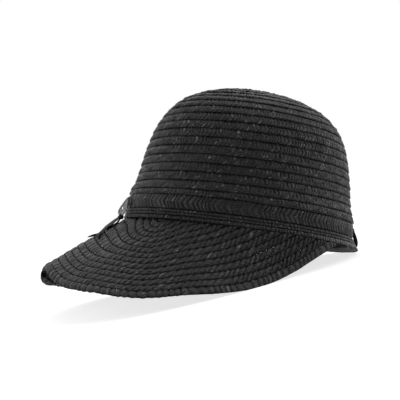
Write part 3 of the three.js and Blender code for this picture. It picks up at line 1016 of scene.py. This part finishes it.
def build_bow(scene):
    settings = scene.cap_bow
    satin, organza = ribbon_material("ribbon_satin", False), ribbon_material("ribbon_sheer", True)
    for name, rows, swell, closing, ribbon in (
        ("bow_loop_upper", UPPER_LOOP, 0.42, 0.95, organza),
        ("bow_loop_lower", LOWER_LOOP, 0.30, 0.0, satin),
    ):
        bm = bmesh.new()
        ribbon_loop(bm, rows, settings, swell, closing)
        add_piece(name, bm, ribbon, name)

    wide, thick = settings.ribbon_width / MM / 2, settings.ribbon_thick / MM / 2
    for name, tail in TAILS.items():
        steps, sides = 40, 12
        shares = np.linspace(0, 1, len(tail["angle"]))
        course = {key: smooth_through(shares, values) for key, values in tail.items()}

        def place(a, b, course=course):
            turn = TURN * b
            side = wide * (0.40 + 0.25 * smoothstep(a, 0, 0.35)) * blunt(np.cos(turn), 0.35)
            notch = 2.2 * smoothstep(a, 0.85, 1) * (1 - np.abs(side) / wide)
            degree = course["angle"](a) + np.degrees(side / (HALF_LENGTH - 10))
            ripple = 0.35 * np.sin(9 * a + 0.4 * side)
            lift = course["lift"](a) + ripple + thick * np.sin(turn)
            return standing(*peak_point(degree, course["along"](a) - notch, lift))

        bm = bmesh.new()
        add_skin(bm, steps, sides, place, TAIL_LENGTH)
        add_piece(name, bm, satin, name)

    # Knot: ribbon drawn tight round the middle, pinched where the loops leave it
    knot_out, knot_up, half_long, half_deep, half_tall = 5.4, 0.3, 4.2, 2.0, 1.8
    bm = bmesh.new()
    uv = bm.loops.layers.uv.verify()
    bmesh.ops.create_uvsphere(bm, u_segments=40, v_segments=24, radius=1.0, calc_uvs=True)
    for vert in bm.verts:
        x, y, z = vert.co
        turn = math.atan2(z, y)
        crease = 1 + 0.07 * math.cos(5 * turn) * (1 - x * x) + 0.04 * math.cos(11 * turn + 4 * x)
        round_it = 1 + 0.25 * (1 - abs(x)) ** 2
        out = knot_out + half_deep * y * crease * round_it
        up = knot_up + half_tall * z * crease * round_it
        vert.co = standing(half_long * x, -HALF_LENGTH - out, up)
    knot_girth = 20
    for face in bm.faces:
        for loop in face.loops:
            loop[uv].uv.x *= knot_girth
    add_piece("bow_knot", bm, satin, "bow_knot")


# ---- Stage ----

# The photo's camera, over the foot's own plane
CAMERA = {"azimuth": 72.0, "elevation": -6.54, "roll": 7.16}
AIM = (0.0, -30.0, 34.0)
SHIFT = (-0.030, -0.021)
SENSOR = 36.0

# The floor glows, and more for the camera
FLOOR_GREY, FLOOR_GLOW, FLOOR_SEEN = 0.55, 0.30, 0.45
WHITE = (1, 1, 1, 1)

# Area lights: place, size and power
LAMPS = {
    "top_softbox": ((0.05, 0.10, 0.95), 0.9, 0.6),
    "left_softbox": ((0.25, -0.95, 0.45), 0.7, 2.4),
    "right_softbox": ((0.30, 1.00, 0.45), 0.7, 1.5),
}
LAMPS_FACE = (0, 0, 0.08)


def build_stage(scene):
    settings = scene.cap_stage
    material, tree, shader = principled("floor_paper", 0.9, 0.1)
    shader.inputs["Base Color"].default_value = (FLOOR_GREY, FLOOR_GREY, FLOOR_GREY, 1)
    seen = add_node(tree, "ShaderNodeLightPath").outputs["Is Camera Ray"]
    shader.inputs["Emission Color"].default_value = WHITE
    glow = math_node(tree, "MULTIPLY_ADD", seen, FLOOR_SEEN, FLOOR_GLOW)
    tree.links.new(glow, shader.inputs["Emission Strength"])
    bm = bmesh.new()
    bmesh.ops.create_grid(bm, x_segments=1, y_segments=1, size=6.0)
    floor = add_object("floor", bm, material)

    azimuth, elevation, roll = map(math.radians, CAMERA.values())
    to_camera = Vector((
        math.sin(azimuth) * math.cos(elevation),
        -math.cos(azimuth) * math.cos(elevation),
        math.sin(elevation),
    ))
    level_right = Vector((math.cos(azimuth), math.sin(azimuth), 0))
    level_up = to_camera.cross(level_right)
    right = math.cos(roll) * level_right + math.sin(roll) * level_up
    up = math.cos(roll) * level_up - math.sin(roll) * level_right
    lean = Matrix.Rotation(-LEAN, 3, "X")
    right, up, to_camera = lean @ right, lean @ up, lean @ to_camera
    aim = Vector(standing(*AIM))
    lens = bpy.data.cameras.new("camera")
    lens.lens, lens.sensor_width = settings.focal_length, SENSOR
    lens.shift_x, lens.shift_y = SHIFT
    camera = bpy.data.objects.new("camera", lens)
    turn = Matrix((right, up, to_camera)).transposed().to_4x4()
    camera.matrix_world = Matrix.Translation(aim + to_camera * settings.camera_distance) @ turn
    scene.collection.objects.link(camera)
    scene.camera = camera

    scene.view_settings.view_transform = "Standard"
    world = bpy.data.worlds.new("studio")
    scene.world = world
    world.use_nodes = True
    tree = world.node_tree
    place = add_node(tree, "ShaderNodeTexCoord").outputs["Generated"]
    values = {0: place, 1: tuple(to_camera)}
    facing = add_node(tree, "ShaderNodeVectorMath", values, operation="DOT_PRODUCT")
    glow = map_range(tree, facing.outputs["Value"], -0.25, 0.65, 1.0, 0.02)
    seen = add_node(tree, "ShaderNodeLightPath").outputs["Is Camera Ray"]
    values = {"Factor": seen, "A": glow, "B": 1.0}
    strength = add_node(tree, "ShaderNodeMix", values, data_type="FLOAT").outputs["Result"]
    background = tree.nodes["Background"]
    background.inputs["Color"].default_value = WHITE
    tree.links.new(strength, background.inputs["Strength"])

    for name, (spot, size, power) in LAMPS.items():
        light = bpy.data.lights.new(name, "AREA")
        light.shape, light.size, light.energy = "SQUARE", size, power
        lamp = bpy.data.objects.new(name, light)
        lamp.location = spot
        aim = Vector(LAMPS_FACE) - lamp.location
        lamp.rotation_euler = aim.to_track_quat("-Z", "Y").to_euler()
        scene.collection.objects.link(lamp)


# ---- Add-on ----

class CAP_OT_crown(bpy.types.Operator):
    """Builds the crown's spiral of sewn straw braid"""
    bl_idname = "cap.crown"
    bl_label = "Braided Crown"

    def execute(self, context):
        build_crown(context.scene)
        return {"FINISHED"}


class CAP_OT_crown_inside(bpy.types.Operator):
    """Builds the inside of the crown"""
    bl_idname = "cap.crown_inside"
    bl_label = "Crown Inside"

    def execute(self, context):
        build_crown_inside(context.scene)
        return {"FINISHED"}


class CAP_OT_crown_button(bpy.types.Operator):
    """Builds the braid's coiled start"""
    bl_idname = "cap.crown_button"
    bl_label = "Crown Button"

    def execute(self, context):
        build_crown_button(context.scene)
        return {"FINISHED"}


class CAP_OT_hatband(bpy.types.Operator):
    """Builds the herringbone band"""
    bl_idname = "cap.hatband"
    bl_label = "Hatband"

    def execute(self, context):
        build_hatband(context.scene)
        return {"FINISHED"}


class CAP_OT_foot_row(bpy.types.Operator):
    """Builds the rows round the foot"""
    bl_idname = "cap.foot_row"
    bl_label = "Foot Row"

    def execute(self, context):
        build_foot_row(context.scene)
        return {"FINISHED"}


class CAP_OT_keeper(bpy.types.Operator):
    """Builds the strap over the band's crossed ends"""
    bl_idname = "cap.keeper"
    bl_label = "Band Keeper"

    def execute(self, context):
        build_keeper(context.scene)
        return {"FINISHED"}


class CAP_OT_peak(bpy.types.Operator):
    """Builds the peak's rows of twisted braid"""
    bl_idname = "cap.peak"
    bl_label = "Peak"

    def execute(self, context):
        build_peak(context.scene)
        return {"FINISHED"}


class CAP_OT_bow(bpy.types.Operator):
    """Builds the ribbon bow"""
    bl_idname = "cap.bow"
    bl_label = "Bow"

    def execute(self, context):
        build_bow(context.scene)
        return {"FINISHED"}


class CAP_OT_stage(bpy.types.Operator):
    """Builds the floor, the lights and the camera"""
    bl_idname = "cap.stage"
    bl_label = "Stage"

    def execute(self, context):
        build_stage(context.scene)
        return {"FINISHED"}


PIECES = (
    CAP_OT_crown, CAP_OT_crown_inside, CAP_OT_crown_button, CAP_OT_hatband, CAP_OT_foot_row,
    CAP_OT_keeper, CAP_OT_peak, CAP_OT_bow, CAP_OT_stage,
)
SETTINGS = {
    "cap_straw": CAP_PG_straw,
    "cap_crown": CAP_PG_crown,
    "cap_band": CAP_PG_band,
    "cap_peak": CAP_PG_peak,
    "cap_bow": CAP_PG_bow,
    "cap_stage": CAP_PG_stage,
}


class CAP_PT_panel(bpy.types.Panel):
    bl_label = "Straw Cap"
    bl_idname = "CAP_PT_panel"
    bl_space_type = "VIEW_3D"
    bl_region_type = "UI"
    bl_category = "Straw Cap"

    def draw(self, context):
        for group in SETTINGS:
            box = self.layout.box()
            for field in SETTINGS[group].__annotations__:
                box.prop(getattr(context.scene, group), field)
        for operator in PIECES:
            self.layout.operator(operator.bl_idname)


CLASSES = (*SETTINGS.values(), *PIECES, CAP_PT_panel)


def register():
    for cls in CLASSES:
        bpy.utils.register_class(cls)
    for name, group in SETTINGS.items():
        setattr(bpy.types.Scene, name, bpy.props.PointerProperty(type=group))


def unregister():
    for name in SETTINGS:
        delattr(bpy.types.Scene, name)
    for cls in reversed(CLASSES):
        bpy.utils.unregister_class(cls)


def main():
    register()
    for operator in PIECES:
        getattr(bpy.ops.cap, operator.bl_idname.split(".")[1])()


if __name__ == "__main__":
    main()
